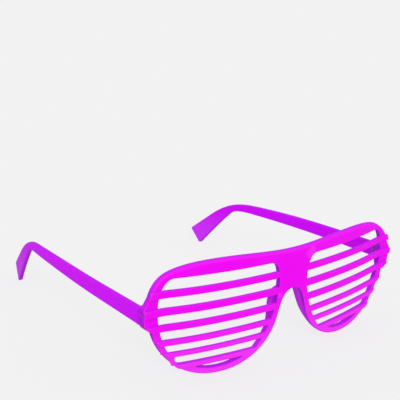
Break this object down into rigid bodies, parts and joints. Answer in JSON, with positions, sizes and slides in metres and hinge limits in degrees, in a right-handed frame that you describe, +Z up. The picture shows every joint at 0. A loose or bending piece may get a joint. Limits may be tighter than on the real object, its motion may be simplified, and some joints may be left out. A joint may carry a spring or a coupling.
{
  "type": "party glasses",
  "caption": "Slatted party glasses: a bowed one-piece plastic front with open horizontal slats in place of lenses, and temples that fold on small steel hinges.",
  "frame": {"origin": "on the surface the open glasses rest on, midway between the front of the bridge and the ends of the temple tips, and midway between the temples", "axes": "+X towards the wearer's left, +Y from the front back along the temples, +Z up as the open glasses stand on the rim and the temple tips; joints at 0 have the temples open"},
  "size_m": [0.151, 0.1508, 0.0515],
  "materials": {
    "front_plastic": "glossy injection-moulded, bright magenta",
    "temple_plastic": "glossy injection-moulded, purple magenta",
    "hinge_steel": "plain stamped steel",
    "screw_steel": "plain turned steel"
  },
  "bodies": {
    "front": {"front_frame": "front_plastic", "left_front_hinge_leaf": "hinge_steel", "right_front_hinge_leaf": "hinge_steel", "left_hinge_screw": "screw_steel", "right_hinge_screw": "screw_steel"},
    "left_arm": {"left_temple": "temple_plastic", "left_temple_hinge_leaf": "hinge_steel"},
    "right_arm": {"right_temple": "temple_plastic", "right_temple_hinge_leaf": "hinge_steel"}
  },
  "joints": [
    {"name": "left_temple_fold", "type": "hinge", "parent": "front", "child": "left_arm", "pos_m": [0.0707, -0.06247, 0.0306], "axis": [0, 0, 1], "range_deg": [0, 86]},
    {"name": "right_temple_fold", "type": "hinge", "parent": "front", "child": "right_arm", "pos_m": [-0.0707, -0.06247, 0.0306], "axis": [0, 0, -1], "range_deg": [0, 79]}
  ]
}
